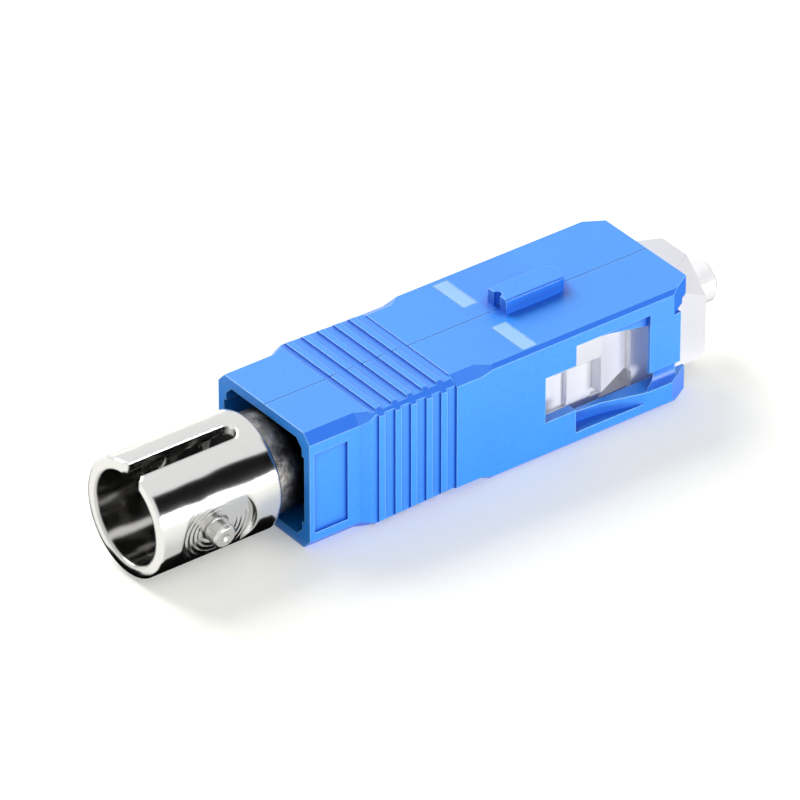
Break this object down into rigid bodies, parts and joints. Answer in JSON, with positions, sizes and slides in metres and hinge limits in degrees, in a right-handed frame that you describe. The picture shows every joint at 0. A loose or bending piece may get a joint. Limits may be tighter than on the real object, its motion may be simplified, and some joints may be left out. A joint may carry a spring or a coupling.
{
  "type": "fibre optic adapter",
  "caption": "Male to female fibre adapter: a push-pull square plug end with a ceramic ferrule and a bayonet receptacle end, joined by a sliding sleeve.",
  "frame": {"origin": "centre of the bayonet barrel's open mouth, on the optical axis", "axes": "+X along the optical axis to the plug's ferrule tip, +Z to the side with the key, flat underside down"},
  "size_m": [0.0398, 0.009, 0.0083],
  "materials": {
    "blue_plastic": "satin moulded",
    "pale_blue_plastic": "satin moulded",
    "white_plastic": "satin moulded",
    "zirconia": "polished ceramic",
    "fibre_glass": "polished end",
    "plated_brass": "turned and plated",
    "spring_steel": "drawn wire",
    "dark_plastic": "glass filled, dull",
    "nickel_plate": "bright nickel plate over turned brass"
  },
  "bodies": {
    "sleeve": {"coupling_sleeve": "blue_plastic", "witness_mark_near": "pale_blue_plastic", "witness_mark_far": "pale_blue_plastic"},
    "plug": {"plug_frame": "white_plastic", "coupling_body": "dark_plastic", "bayonet_barrel": "nickel_plate", "lug_pin_near": "nickel_plate", "lug_pin_far": "nickel_plate", "holder_front": "dark_plastic", "holder_rear": "dark_plastic", "split_sleeve": "zirconia", "ferrule_spring": "spring_steel"},
    "ferrule_group": {"ferrule": "zirconia", "fibre": "fibre_glass", "ferrule_flange": "plated_brass"}
  },
  "joints": [
    {"name": "sleeve_travel", "type": "slide", "parent": "sleeve", "child": "plug", "axis": [1, 0, 0], "range_m": [-0.0012, 0]},
    {"name": "ferrule_float", "type": "slide", "parent": "plug", "child": "ferrule_group", "axis": [1, 0, 0], "range_m": [-0.001, 0], "stiffness_N_per_m": 3000, "springref_m": 0.0027, "deforming": ["ferrule_spring"]}
  ]
}
